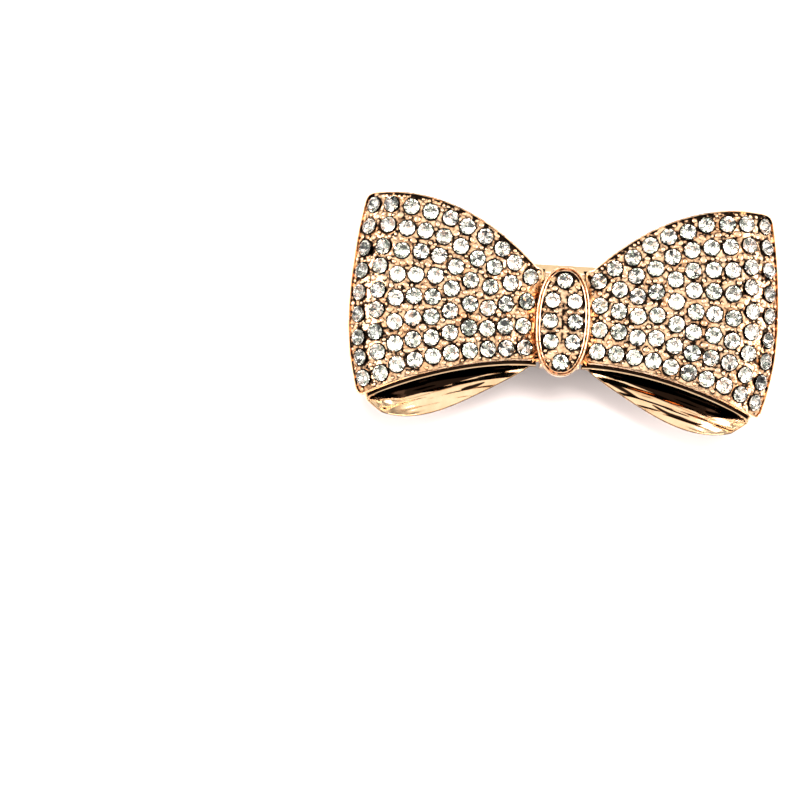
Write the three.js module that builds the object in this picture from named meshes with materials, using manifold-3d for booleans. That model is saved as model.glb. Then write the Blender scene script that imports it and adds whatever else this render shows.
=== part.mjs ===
// Rhinestone bow hair clip: a hollow metal ribbon bow set with round stones, on a spring barrette.
// Millimetres, +Z up. The clip lies face up on its clasp arm: X runs along the bow, +Y to its top edge.
import * as THREE from 'three';
import { mergeVertices } from 'three/addons/utils/BufferGeometryUtils.js';
import Module from 'manifold-3d';

const wasm = await Module();
wasm.setup();

// ---- driving dimensions -------------------------------------------------------------------------------
const GAP = 0.05; // clearance between pieces that are soldered or glued together
const FINE = 0.001; // vertices closer than this are one vertex
const ROD_SIDES = 24;
const BEYOND = 1; // a cutting tool runs this far past what it cuts

const NECK_X = 3; // inner edge of each loop, at the waist
const EDGE_X = 24.9; // and its outer edge
const CROWN_X = 18; // where the front is highest
const CROWN_Z = 14.25;
const NECK_DROP = 2.4; // how far the front falls from the crown to the neck
const NECK_DROP_POWER = 1.9;
const EDGE_DROP = 2.7; // and from the crown to the outer edge
const EDGE_DROP_POWER = 2.6;
const WAIST_Y = -0.6; // the height at which the outer edge is widest
const NECK_BEND = 0.022; // how lines across the ribbon bow above the waist, per millimetre, at the neck
const EDGE_BEND = 0.007; // and at the outer edge
const BEND_POWER = 1.5;
const LOW_NECK_BEND = 0.011; // and below the waist
const LOW_EDGE_BEND = 0.0155;
const TOP_NECK_Y = 5.3; // the upper edge, at the neck
const TOP_CORNER_Y = 12.9; // and at the outer corner
const TOP_START_X = 3.3;
const TOP_RUN = 18;
const TOP_POWER = 2.25;
const BOTTOM_NECK_Y = -5.65; // the lower edge, at the neck
const BOTTOM_FALL = 5.4; // and how far it has fallen after BOTTOM_RUN
const BOTTOM_RUN = 20;
const BOTTOM_POWER = 1.75;
const FRONT_SAG = 0.3; // the front rolls back by this much at its upper and lower edges

const PLATE_THICK = 1;
const RIM_WIDTH = 0.3;
const RIM_HEIGHT = 0.35;
const RIM_FOOT = 0.08; // run of the rim's inner slope
const PLATE_STATIONS = 15;
const PLATE_ROWS = 6;

const SHELL_THICK = 0.45;
const SHELL_BACKSET = 1.4; // from the plate's front to the middle of the shell behind it
const SHELL_LIP = 0.45; // the shell shows this far below the plate
const SHELL_START_X = 3.05;
const SHELL_STATIONS = 11; // on each layer
const SHELL_ROWS = 7;
const FOLD_STEPS = 6;
const FOLD_START_X = 23.6;
const FOLD_END_X = 23;
const FOLD_FRONT_HANDLE = [0.85, -0.6]; // the two handles of the fold's Bezier section
const FOLD_BACK_HANDLE = [0.95, 0.6];
const BELLY_X = 13; // where the back layer bulges most
const BELLY_Z = 6.65;
const BELLY_RISE_OUT = 0.0311; // the back layer's rise per square millimetre, outward of the belly
const BELLY_RISE_IN = 0.022; // and towards the neck
const APRON = 4; // how much lower the back layer reaches than the front one
const APRON_START_X = 3.8;
const APRON_RUN = 20.6;
const APRON_SKEW = 1.55; // over 1, it reaches lowest in its outer half
const BACK_TOP_INSET = 0.65;
const BACK_CURL = 0.25; // the back layer curls forward by this at its edges

const COLUMN_STONES = [4, 5, 6, 6, 7, 8, 8, 8, 9, 9]; // stones in each column, from the neck outward
const FIRST_COLUMN_X = 4.45;
const COLUMN_PITCH = 2.125;
const LAST_COLUMN_X = 23.75;
const ROW_DIP = 0.4; // the rows dip by this between the edges, at the neck
const ROW_DIP_FADE = 0.5; // and by this much less at the outer edge
const STONE_R = 0.95;
const STONE_H = 0.72;
const TABLE_R = 0.58;
const STONE_SIDES = 6;
const LOW_MARGIN = 1.4; // from a column's lowest stone to the plate's edge, at the neck
const LOW_MARGIN_GROWTH = 0.45; // and how much more it is at the outer edge
const HIGH_MARGIN = 2;
const HIGH_MARGIN_GROWTH = -0.5;
const GLUE_LOW = 0.13; // the glue bed that holds a column of stones together
const GLUE_HIGH = 0.28;
const GLUE_HALF_W = 0.35;
const SLOPE_STEP = 0.2; // the distances over which a seat's slope is taken
const SLOPE_RUN = 0.02;

const KNOT_Y = -1.08;
const KNOT_HALF_X = 3.1;
const KNOT_HALF_Y = 6.35;
const KNOT_ROUND = 2.3; // exponent of the knot's outline: 2 is an ellipse
const KNOT_SIDES = 40;
const KNOT_Z = 12.4;
const KNOT_FLOOR_Z = 13.3;
const KNOT_RIM_Z = 13.75;
const KNOT_RIM_WIDTH = 0.55;
const KNOT_ROW_PITCH = 2.37;
const KNOT_PAIR_X = [1.28, 1.44, 1.26]; // half the distance between the stones of each pair
const BAND_Y = -0.7;
const BAND_HALF_X = 2.25;
const BAND_HALF_Y = 5.55;
const BAND_LOW_Z = 7.5;
const BAND_HIGH_Z = 12.33;
const BAND_THICK = 0.6;
const BAND_CORNER_R = 0.8;
const CORE_HALF_X = 2.35;
const CORE_HALF_Y = 4.85;
const CORE_LOW_Z = 8.25;
const CORE_HIGH_Z = 11.55;

const CLIP_Y = 2; // middle of the barrette, which sits above the bow's middle
const BASE_Z = 5.2;
const BASE_THICK = 0.7;
const BASE_HALF_L = 21.5;
const BASE_HALF_W = 4.5;
const BASE_CORNER_R = 1.5;
const ARM_THICK = 0.8;
const ARM_HALF_L = 22;
const ARM_HALF_W = 3.9;
const ARM_CORNER_R = 1.6;
const ARM_ARCH = 0.4; // the arm's middle arches up by this
const ARCH_MIDDLE_X = -3;
const ARCH_HALF_L = 13;
const RAMP_RISE = 1.4; // the arm's free end steps up by this to meet the catch
const RAMP_START_X = 12.8;
const RAMP_RUN = 2.6;
const HINGE_X = -20.5;
const HINGE_Z = 3;
const HINGE_PIN_R = 0.5;
const HINGE_HEAD_R = 0.85;
const HINGE_HEAD_H = 0.35;
const HINGE_HOLE_R = 0.56;
const HINGE_SHANK = 0.2; // the shaft runs this far into each head
const EAR_R = 1.1;
const EAR_THICK = 0.5;
const EAR_FOOT_Z = 0.4;
const BAR_PIN_X = -17.5;
const BAR_PIN_Z = 4.2;
const BAR_PIN_R = 0.3;
const BAR_HOLE_R = 0.35;
const BAR_THICK = 0.3;
const BAR_HALF_W = 1.9;
const BAR_END_X = 15;
const BAR_ROOT = 0.45; // from the pin's middle to where the bar's leaf leaves its curl
const BAR_TIP_R = 1.2;
const BAR_DIP = 1.45;
const CATCH_X = 18.5;
const PRONG_HALF_W = 1.2;
const PRONG_THICK = 0.35;
const PRONG_Y = 1.15; // inner face of each prong, from the barrette's middle
const PRONG_FOOT_Z = 0.55;
const BARB_Z = 1.2;
const BARB_FACE = 0.1; // height of the barb's upright face
const BARB_SLOPE = 0.08; // and how far the slope above it climbs
const BARB_GAP = 0.07; // between a barb and the edge of the arm's window
const WINDOW_HALF_X = 1.6;
const WINDOW_HALF_Y = 2.05;
const WINDOW_CORNER_R = 0.3;
const CATCH_Z = 4.7;
const CATCH_THICK = 0.45;
const CATCH_HALF_X = 2.3;
const CATCH_HALF_Y = 2.6;
const CATCH_CORNER_R = 0.6;
const RIVET_R = 0.55;
const RIVET_HEAD_R = 1;
const RIVET_HEAD_H = 0.2;
const HOLE_X = [-14.8, 14.2]; // the base plate's two round holes
const HOLE_R = 0.8;
const LUG_INSET = 0.15; // the base plate's lugs run this far inside the arm's ears
const LUG_R = 1;
const LUG_ROOT = 0.2; // the lugs run this far up into the plate
const LUG_END_X = BAR_PIN_X + 0.9;
const LUG_LOW_Z = [3.9, 3.5]; // the lugs' lower edge, at the hinge and at their far end
const PIN_PLAY = 0.03; // a hole's radius over that of a pin held fast in it
const PAD_X = 12;
const PAD_HALF_X = 1.6;
const PAD_HALF_Y = 2.5;
const PAD_CORNER_R = 0.6;
const PAD_TOP_Z = 6.35;
const MIDDLE_PAD_TOP_Z = 7.45;
const MIDDLE_PAD_Y = 0.8;
const MIDDLE_PAD_HALF_Y = 2.6;

const GOLD = { color: 0xd9a066, roughness: 0.25, metalness: 1 };
const STEEL = { color: 0xd8b078, roughness: 0.35, metalness: 1 };
const STONE = { color: 0xe8ece8, roughness: 0.05, metalness: 0 };

// ---- solids -------------------------------------------------------------------------------------------
function toSolid(geometry) {
  const bare = geometry.clone();
  bare.deleteAttribute('normal');
  bare.deleteAttribute('uv');
  const merged = mergeVertices(bare, FINE);
  const vertProperties = new Float32Array(merged.attributes.position.array);
  const triVerts = new Uint32Array(merged.index.array);
  return new wasm.Manifold(new wasm.Mesh({ numProp: 3, vertProperties, triVerts }));
}

function toGeometry(solid) {
  const mesh = solid.getMesh();
  const geometry = new THREE.BufferGeometry();
  geometry.setAttribute('position', new THREE.BufferAttribute(mesh.vertProperties, 3));
  geometry.setIndex(new THREE.BufferAttribute(mesh.triVerts, 1));
  return geometry;
}

function join(...geometries) {
  return toGeometry(geometries.map(toSolid).reduce((whole, piece) => whole.add(piece)));
}

function cut(geometry, ...tools) {
  return toGeometry(tools.map(toSolid).reduce((whole, tool) => whole.subtract(tool), toSolid(geometry)));
}

function common(a, b) {
  return toGeometry(toSolid(a).intersect(toSolid(b)));
}

// An outline in the XY plane, standing from z0 to z1.
function upright(shape, z0, z1, curveSegments = 10) {
  const geometry = new THREE.ExtrudeGeometry(shape, { depth: z1 - z0, bevelEnabled: false, curveSegments });
  return geometry.translate(0, 0, z0);
}

// An outline in the XZ plane, running across the clip from y0 to y1.
function across(shape, y0, y1, curveSegments = 10) {
  const geometry = new THREE.ExtrudeGeometry(shape, { depth: y1 - y0, bevelEnabled: false, curveSegments });
  return geometry.rotateX(Math.PI / 2).translate(0, y1, 0);
}

// A round rod across the clip.
function crossRod(x, z, radius, y0, y1) {
  return new THREE.CylinderGeometry(radius, radius, y1 - y0, ROD_SIDES).translate(x, (y0 + y1) / 2, z);
}

// The tool for a hole right across the barrette.
function drill(x, z, radius) {
  return crossRod(x, z, radius, CLIP_Y - BASE_HALF_W - BEYOND, CLIP_Y + BASE_HALF_W + BEYOND);
}

// The tool for a hole down through the barrette.
function sink(x, radius) {
  const rod = new THREE.CylinderGeometry(radius, radius, 2 * BEYOND + BASE_THICK, ROD_SIDES);
  return rod.rotateX(Math.PI / 2).translate(x, CLIP_Y, BASE_Z);
}

function polygon(points) {
  return new THREE.Shape(points.map(([x, y]) => new THREE.Vector2(x, y)));
}

function roundedRect(halfX, halfY, radius, x = 0, y = 0) {
  const shape = new THREE.Shape();
  shape.moveTo(x - halfX + radius, y - halfY);
  shape.lineTo(x + halfX - radius, y - halfY);
  shape.absarc(x + halfX - radius, y - halfY + radius, radius, -Math.PI / 2, 0);
  shape.absarc(x + halfX - radius, y + halfY - radius, radius, 0, Math.PI / 2);
  shape.absarc(x - halfX + radius, y + halfY - radius, radius, Math.PI / 2, Math.PI);
  shape.absarc(x - halfX + radius, y - halfY + radius, radius, Math.PI, Math.PI * 1.5);
  return shape;
}

// A closed solid between two grids of points of the same size.
function slab(front, back) {
  const rows = front.length;
  const columns = front[0].length;
  const positions = [...front.flat(), ...back.flat()].flatMap((p) => [p.x, p.y, p.z]);
  const at = (side, row, column) => side * rows * columns + row * columns + column;
  const index = [];
  const quad = (a, b, c, d) => index.push(a, b, c, a, c, d);
  for (let row = 0; row < rows - 1; row += 1) {
    for (let column = 0; column < columns - 1; column += 1) {
      quad(at(0, row, column), at(0, row, column + 1), at(0, row + 1, column + 1), at(0, row + 1, column));
      quad(at(1, row, column), at(1, row + 1, column), at(1, row + 1, column + 1), at(1, row, column + 1));
    }
  }
  for (let row = 0; row < rows - 1; row += 1) {
    quad(at(0, row, 0), at(0, row + 1, 0), at(1, row + 1, 0), at(1, row, 0));
    const last = columns - 1;
    quad(at(0, row + 1, last), at(0, row, last), at(1, row, last), at(1, row + 1, last));
  }
  for (let column = 0; column < columns - 1; column += 1) {
    quad(at(0, 0, column + 1), at(0, 0, column), at(1, 0, column), at(1, 0, column + 1));
    const last = rows - 1;
    quad(at(0, last, column), at(0, last, column + 1), at(1, last, column + 1), at(1, last, column));
  }
  const geometry = new THREE.BufferGeometry();
  geometry.setAttribute('position', new THREE.Float32BufferAttribute(positions, 3));
  geometry.setIndex(index);
  return facingOut(geometry);
}

function flip(geometry) {
  const index = geometry.index.array;
  for (let i = 0; i < index.length; i += 3) {
    [index[i], index[i + 1]] = [index[i + 1], index[i]];
  }
  return geometry;
}

function facingOut(geometry) {
  const position = geometry.attributes.position;
  const index = geometry.index.array;
  const corner = (i) => new THREE.Vector3().fromBufferAttribute(position, index[i]);
  let volume = 0;
  for (let i = 0; i < index.length; i += 3) {
    volume += corner(i).dot(corner(i + 1).cross(corner(i + 2)));
  }
  return volume < 0 ? flip(geometry) : geometry;
}

function mirrored(geometry) {
  return flip(geometry.clone().scale(-1, 1, 1));
}

// ---- the bow's surfaces, for the right-hand loop -------------------------------------------------------
const { lerp: mix, clamp, smoothstep } = THREE.MathUtils;
const share = (flat) => (flat - NECK_X) / (EDGE_X - NECK_X);

function frontZ(flat) {
  if (flat < CROWN_X) {
    return CROWN_Z - NECK_DROP * ((CROWN_X - flat) / (CROWN_X - NECK_X)) ** NECK_DROP_POWER;
  }
  return CROWN_Z - EDGE_DROP * ((flat - CROWN_X) / (EDGE_X - CROWN_X)) ** EDGE_DROP_POWER;
}

function topY(x) {
  const run = clamp((x - TOP_START_X) / TOP_RUN, 0, 1);
  return TOP_CORNER_Y - (TOP_CORNER_Y - TOP_NECK_Y) * (1 - run) ** TOP_POWER;
}

function bottomY(x) {
  return BOTTOM_NECK_Y - BOTTOM_FALL * Math.max((x - NECK_X) / BOTTOM_RUN, 0) ** BOTTOM_POWER;
}

// Lines that are straight across a flat ribbon bow outward at the waist, as the outer edge does.
function bowed(flat, y) {
  const inward = clamp(1 - share(flat), 0, 1);
  const high = mix(EDGE_BEND, NECK_BEND, inward ** BEND_POWER);
  const bend = y > WAIST_Y ? high : mix(LOW_EDGE_BEND, LOW_NECK_BEND, inward);
  return flat - bend * (y - WAIST_Y) ** 2;
}

// A point of the front. run is 0 at the lower edge and 1 at the upper one; the insets are in millimetres.
function frontPoint(flat, run, lowInset, highInset, lift) {
  const guess = mix(bottomY(flat) + lowInset, topY(flat) - highInset, run);
  const x = bowed(flat, guess);
  const y = mix(bottomY(x) + lowInset, topY(x) - highInset, run);
  const roll = (2 * y - topY(x) - bottomY(x)) / (topY(x) - bottomY(x));
  return new THREE.Vector3(x, y, frontZ(flat) - FRONT_SAG * roll ** 2 + lift);
}

function stations(from, to, count) {
  return Array.from({ length: count }, (_, i) => mix(from, to, i / (count - 1)));
}

// ---- the pave plate -----------------------------------------------------------------------------------
function pavePlate() {
  const foot = RIM_WIDTH + RIM_FOOT;
  const flats = [...stations(NECK_X, EDGE_X - foot, PLATE_STATIONS), EDGE_X - RIM_WIDTH, EDGE_X];
  const interior = stations(0, 1, PLATE_ROWS);
  const row = (flat, side) => {
    const atEdge = flat > EDGE_X - foot + FINE;
    const raise = side === 0 ? RIM_HEIGHT : 0;
    const lift = side === 0 ? 0 : -PLATE_THICK;
    const inner = interior.map((run) => frontPoint(flat, run, foot, foot, lift + (atEdge ? raise : 0)));
    const low = [0, RIM_WIDTH].map((inset) => frontPoint(flat, 0, inset, inset, lift + raise));
    const high = [RIM_WIDTH, 0].map((inset) => frontPoint(flat, 1, inset, inset, lift + raise));
    return [...low, ...inner, ...high];
  };
  return slab(flats.map((flat) => row(flat, 0)), flats.map((flat) => row(flat, 1)));
}

// ---- the loop shell -----------------------------------------------------------------------------------
function backZ(flat) {
  const rise = flat > BELLY_X ? BELLY_RISE_OUT : BELLY_RISE_IN;
  return BELLY_Z + rise * (flat - BELLY_X) ** 2;
}

// The middle of the folded strip: front layer, fold, back layer. Each entry says how far back it has come.
function shellPath() {
  const frontX = stations(SHELL_START_X, FOLD_START_X, SHELL_STATIONS);
  const front = frontX.map((x) => [x, frontZ(x) - SHELL_BACKSET, 0]);
  const back = stations(FOLD_END_X, SHELL_START_X, SHELL_STATIONS).map((x) => [x, backZ(x), 1]);
  const start = new THREE.Vector2(...front.at(-1));
  const end = new THREE.Vector2(...back[0]);
  const fold = new THREE.CubicBezierCurve(
    start,
    start.clone().add(new THREE.Vector2(...FOLD_FRONT_HANDLE)),
    end.clone().add(new THREE.Vector2(...FOLD_BACK_HANDLE)),
    end,
  );
  const between = fold.getPoints(FOLD_STEPS).slice(1, -1);
  const turn = between.map((p, i) => [p.x, p.y, (i + 1) / FOLD_STEPS]);
  return [...front, ...turn, ...back];
}

function apron(flat) {
  const run = clamp((flat - APRON_START_X) / APRON_RUN, 0, 1);
  return APRON * Math.sqrt(Math.sin(Math.PI * run ** APRON_SKEW));
}

function shellRow([flat, z, turned]) {
  return stations(0, 1, SHELL_ROWS).map((run) => {
    const low = -SHELL_LIP - turned * apron(flat);
    const high = turned * BACK_TOP_INSET;
    const point = frontPoint(flat, run, low, high, 0);
    const roll = (2 * run - 1) ** 2;
    point.z = z + mix(-FRONT_SAG, BACK_CURL, turned) * roll;
    return point;
  });
}

function loopShell() {
  const path = shellPath();
  const side = (sign) => path.map((entry, i) => {
    const before = path[Math.max(i - 1, 0)];
    const after = path[Math.min(i + 1, path.length - 1)];
    const along = new THREE.Vector2(after[0] - before[0], after[1] - before[1]).normalize();
    const shift = (sign * SHELL_THICK) / 2;
    return shellRow([entry[0] - along.y * shift, entry[1] + along.x * shift, entry[2]]);
  });
  return slab(side(1), side(-1));
}

// ---- stones -------------------------------------------------------------------------------------------
function stone() {
  const profile = [[0, 0], [STONE_R, 0], [TABLE_R, STONE_H], [0, STONE_H]];
  const turned = new THREE.LatheGeometry(profile.map(([r, h]) => new THREE.Vector2(r, h)), STONE_SIDES);
  return turned.rotateX(Math.PI / 2);
}

function columnX(column) {
  return column < COLUMN_STONES.length - 1 ? FIRST_COLUMN_X + column * COLUMN_PITCH : LAST_COLUMN_X;
}

// A stone's place. The margins between a column's end stones and the plate's edges change along the loop.
function seat(column, run, lift, shift = 0) {
  const flat = columnX(column);
  const low = LOW_MARGIN + LOW_MARGIN_GROWTH * share(flat);
  const high = HIGH_MARGIN + HIGH_MARGIN_GROWTH * share(flat);
  const dip = 4 * run * (1 - run) * (ROW_DIP - ROW_DIP_FADE * share(flat));
  const place = frontPoint(flat + shift, run, low, high, lift);
  place.y -= dip;
  return place;
}

function seatNormal(column, run) {
  const outward = seat(column, run, 0, SLOPE_STEP).sub(seat(column, run, 0, -SLOPE_STEP));
  const upward = seat(column, run + SLOPE_RUN, 0).sub(seat(column, run - SLOPE_RUN, 0));
  return outward.cross(upward).normalize();
}

function stoneColumn(column) {
  const count = COLUMN_STONES[column];
  const stones = stations(0, 1, count).map((run) => {
    const foot = seat(column, run, 0);
    const normal = seatNormal(column, run);
    const turn = new THREE.Quaternion().setFromUnitVectors(new THREE.Vector3(0, 0, 1), normal);
    foot.addScaledVector(normal, 2 * GAP);
    return stone().applyQuaternion(turn).translate(foot.x, foot.y, foot.z);
  });
  const strip = (lift) => stations(0, 1, count).map((run) => {
    const slope = seatNormal(column, run);
    return [-GLUE_HALF_W, GLUE_HALF_W].map((dx) => {
      return seat(column, run, lift).add(new THREE.Vector3(dx, 0, (-dx * slope.x) / slope.z));
    });
  });
  return join(slab(strip(GLUE_HIGH), strip(GLUE_LOW)), ...stones);
}

// ---- the knot -----------------------------------------------------------------------------------------
function knotOutline(inset) {
  const halfX = KNOT_HALF_X - inset;
  const halfY = KNOT_HALF_Y - inset;
  const rounded = (value) => Math.sign(value) * Math.abs(value) ** (2 / KNOT_ROUND);
  const corner = (angle) => [halfX * rounded(Math.cos(angle)), KNOT_Y + halfY * rounded(Math.sin(angle))];
  return polygon(stations(0, 2 * Math.PI, KNOT_SIDES + 1).slice(0, -1).map(corner));
}

function knotCap() {
  const body = upright(knotOutline(0), KNOT_Z, KNOT_RIM_Z);
  return cut(body, upright(knotOutline(KNOT_RIM_WIDTH), KNOT_FLOOR_Z, KNOT_RIM_Z + BEYOND));
}

function knotSeats() {
  const rowY = (row) => KNOT_Y + row * KNOT_ROW_PITCH;
  const pairs = KNOT_PAIR_X.flatMap((x, i) => [[-x, rowY(1 - i)], [x, rowY(1 - i)]]);
  return [[0, rowY(2)], ...pairs, [0, rowY(-2)]];
}

// The strap that wraps the gathered neck, drawn as a ring around X.
function knotBand() {
  const ring = (inset, radius) => {
    const halfZ = (BAND_HIGH_Z - BAND_LOW_Z) / 2 - inset;
    const shape = roundedRect(halfZ, BAND_HALF_Y - inset, radius, (BAND_HIGH_Z + BAND_LOW_Z) / 2, BAND_Y);
    return facingOutAny(upright(shape, -BAND_HALF_X, BAND_HALF_X, 4).rotateY(-Math.PI / 2).scale(-1, 1, 1));
  };
  return cut(ring(0, BAND_CORNER_R), ring(BAND_THICK, BAND_CORNER_R - BAND_THICK));
}

function facingOutAny(geometry) {
  const bare = geometry.clone();
  bare.deleteAttribute('normal');
  bare.deleteAttribute('uv');
  return facingOut(mergeVertices(bare, FINE));
}

function neckCore() {
  const outline = roundedRect(CORE_HALF_X, CORE_HALF_Y, BAND_CORNER_R, 0, BAND_Y);
  return upright(outline, CORE_LOW_Z, CORE_HIGH_Z, 3);
}

// ---- the barrette -------------------------------------------------------------------------------------
function armZ(x) {
  const along = clamp((x - ARCH_MIDDLE_X) / ARCH_HALF_L, -1, 1);
  const ramp = smoothstep(x, RAMP_START_X, RAMP_START_X + RAMP_RUN);
  return ARM_ARCH * (1 - along ** 2) ** 2 + RAMP_RISE * ramp;
}

function ear(x, z, radius, footZ, y0, y1) {
  const shape = new THREE.Shape();
  shape.moveTo(x - radius, footZ);
  shape.lineTo(x - radius, z);
  const up = footZ < z;
  shape.absarc(x, z, radius, Math.PI, up ? 0 : 2 * Math.PI, up);
  shape.lineTo(x + radius, footZ);
  return across(shape, y0, y1, 8);
}

function claspArm() {
  const arch = stations(ARCH_MIDDLE_X - ARCH_HALF_L, ARCH_MIDDLE_X + ARCH_HALF_L, 15);
  const ramp = stations(RAMP_START_X, RAMP_START_X + RAMP_RUN, 6);
  const reach = ARM_HALF_W + BEYOND;
  const xs = [-ARM_HALF_L, ...arch, ...ramp, ARM_HALF_L];
  const under = xs.map((x) => [x, armZ(x)]);
  const over = [...xs].reverse().map((x) => [x, armZ(x) + ARM_THICK]);
  const strip = across(polygon([...under, ...over]), CLIP_Y - reach, CLIP_Y + reach);
  const plan = upright(roundedRect(ARM_HALF_L, ARM_HALF_W, ARM_CORNER_R, 0, CLIP_Y), -BEYOND, BASE_Z, 5);
  const leaf = common(strip, plan);
  const ears = [-1, 1].map((side) => {
    const outer = CLIP_Y + side * ARM_HALF_W;
    const inner = outer - side * EAR_THICK;
    return ear(HINGE_X, HINGE_Z, EAR_R, EAR_FOOT_Z, Math.min(outer, inner), Math.max(outer, inner));
  });
  const hole = drill(HINGE_X, HINGE_Z, HINGE_PIN_R + PIN_PLAY);
  const opening = roundedRect(WINDOW_HALF_X, WINDOW_HALF_Y, WINDOW_CORNER_R, CATCH_X, CLIP_Y);
  const window = upright(opening, 0, BASE_Z, 3);
  return cut(join(leaf, ...ears), hole, window);
}

function basePlate() {
  const plan = roundedRect(BASE_HALF_L, BASE_HALF_W, BASE_CORNER_R, 0, CLIP_Y);
  const plate = upright(plan, BASE_Z, BASE_Z + BASE_THICK, 5);
  const root = BASE_Z + LUG_ROOT;
  const lugs = [-1, 1].map((side) => {
    const outer = CLIP_Y + side * (ARM_HALF_W - EAR_THICK - LUG_INSET);
    const inner = outer - side * EAR_THICK;
    const y0 = Math.min(outer, inner);
    const y1 = Math.max(outer, inner);
    const down = ear(HINGE_X, HINGE_Z, LUG_R, root, y0, y1);
    const lowEdge = [[HINGE_X, LUG_LOW_Z[0]], [LUG_END_X, LUG_LOW_Z[1]]];
    const web = polygon([...lowEdge, [LUG_END_X, root], [HINGE_X, root]]);
    return join(down, across(web, y0, y1));
  });
  const holes = HOLE_X.map((x) => sink(x, HOLE_R));
  const pinHole = drill(HINGE_X, HINGE_Z, HINGE_HOLE_R);
  const barHole = drill(BAR_PIN_X, BAR_PIN_Z, BAR_PIN_R + PIN_PLAY);
  return cut(join(plate, ...lugs), ...holes, pinHole, barHole);
}

function hingePin() {
  const reach = ARM_HALF_W + GAP;
  const shank = reach + HINGE_SHANK;
  const shaft = crossRod(HINGE_X, HINGE_Z, HINGE_PIN_R, CLIP_Y - shank, CLIP_Y + shank);
  const heads = [-1, 1].map((side) => {
    const near = CLIP_Y + side * reach;
    const far = near + side * HINGE_HEAD_H;
    return crossRod(HINGE_X, HINGE_Z, HINGE_HEAD_R, Math.min(near, far), Math.max(near, far));
  });
  return join(shaft, ...heads);
}

function barPin() {
  const reach = ARM_HALF_W - EAR_THICK - LUG_INSET;
  return crossRod(BAR_PIN_X, BAR_PIN_Z, BAR_PIN_R, CLIP_Y - reach, CLIP_Y + reach);
}

function tensionBar() {
  const middle = (BAR_PIN_X + BAR_END_X) / 2;
  const half = (BAR_END_X - BAR_PIN_X) / 2;
  const z = (x) => BAR_PIN_Z - BAR_DIP * (1 - ((x - middle) / half) ** 2);
  const xs = stations(BAR_PIN_X + BAR_ROOT, BAR_END_X, 16);
  const under = xs.map((x) => [x, z(x) - BAR_THICK / 2]);
  const over = [...xs].reverse().map((x) => [x, z(x) + BAR_THICK / 2]);
  const strip = across(polygon([...under, ...over]), CLIP_Y - BAR_HALF_W, CLIP_Y + BAR_HALF_W);
  const plan = roundedRect(half + BEYOND, BAR_HALF_W, BAR_TIP_R, middle - BEYOND, CLIP_Y);
  const leaf = common(strip, upright(plan, 0, BASE_Z, 4));
  const curlR = BAR_HOLE_R + BAR_THICK;
  const curl = crossRod(BAR_PIN_X, BAR_PIN_Z, curlR, CLIP_Y - BAR_HALF_W, CLIP_Y + BAR_HALF_W);
  return cut(join(leaf, curl), drill(BAR_PIN_X, BAR_PIN_Z, BAR_HOLE_R));
}

function catchPlate() {
  const plan = roundedRect(CATCH_HALF_X, CATCH_HALF_Y, CATCH_CORNER_R, CATCH_X, CLIP_Y);
  const plate = upright(plan, CATCH_Z, CATCH_Z + CATCH_THICK, 4);
  return cut(plate, sink(CATCH_X, RIVET_R + GAP));
}

// A prong of the catch: a leaf spring that hangs from the catch plate and ends in an outward barb.
function prong(side) {
  const inner = PRONG_Y;
  const outer = PRONG_Y + PRONG_THICK;
  const top = CATCH_Z - GAP;
  const barb = WINDOW_HALF_Y - BARB_GAP;
  const leafInside = [[inner, top], [inner, PRONG_FOOT_Z]];
  const leafOutside = [[outer, BARB_Z + BARB_FACE + BARB_SLOPE], [outer, top]];
  const hook = [[outer, PRONG_FOOT_Z], [barb, BARB_Z], [barb, BARB_Z + BARB_FACE]];
  const profile = [...leafInside, ...hook, ...leafOutside];
  const shape = polygon(profile.map(([y, z]) => [z, CLIP_Y + side * y]));
  const leaf = upright(shape, CATCH_X - PRONG_HALF_W, CATCH_X + PRONG_HALF_W);
  return facingOutAny(swapXZ(leaf));
}

function swapXZ(geometry) {
  const swap = new THREE.Matrix4().set(0, 0, 1, 0, 0, 1, 0, 0, 1, 0, 0, 0, 0, 0, 0, 1);
  return geometry.applyMatrix4(swap);
}

function rivet() {
  const foot = CATCH_Z - GAP;
  const head = foot - RIVET_HEAD_H;
  const top = BASE_Z - GAP;
  const wide = [[0, head], [RIVET_HEAD_R, head], [RIVET_HEAD_R, foot]];
  const profile = [...wide, [RIVET_R, foot], [RIVET_R, top], [0, top]];
  const turned = new THREE.LatheGeometry(profile.map(([r, z]) => new THREE.Vector2(r, z)), ROD_SIDES);
  return turned.rotateX(Math.PI / 2).translate(CATCH_X, CLIP_Y, 0);
}

function solderPad(x, y, top, halfY) {
  return upright(roundedRect(PAD_HALF_X, halfY, PAD_CORNER_R, x, y), BASE_Z + BASE_THICK + GAP, top, 3);
}

// ---- the assembly -------------------------------------------------------------------------------------
const clip = new THREE.Group();

function add(name, geometry, finish) {
  const mesh = new THREE.Mesh(geometry, new THREE.MeshStandardMaterial(finish));
  mesh.name = name;
  clip.add(mesh);
  return mesh;
}

function addBothSides(name, geometry, finish) {
  add(`right_${name}`, geometry, finish);
  add(`left_${name}`, mirrored(geometry), finish);
}

addBothSides('pave_plate', facingOutAny(pavePlate()), GOLD);
addBothSides('loop_shell', facingOutAny(loopShell()), GOLD);
COLUMN_STONES.forEach((_, column) => {
  addBothSides(`stone_column_${column + 1}`, stoneColumn(column), STONE);
});

add('knot_cap', knotCap(), GOLD);
add('knot_band', knotBand(), GOLD);
add('neck_core', neckCore(), GOLD);
knotSeats().forEach(([x, y], i) => {
  add(`knot_stone_${i + 1}`, facingOutAny(stone()), STONE).position.set(x, y, KNOT_FLOOR_Z + GAP);
});

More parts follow.
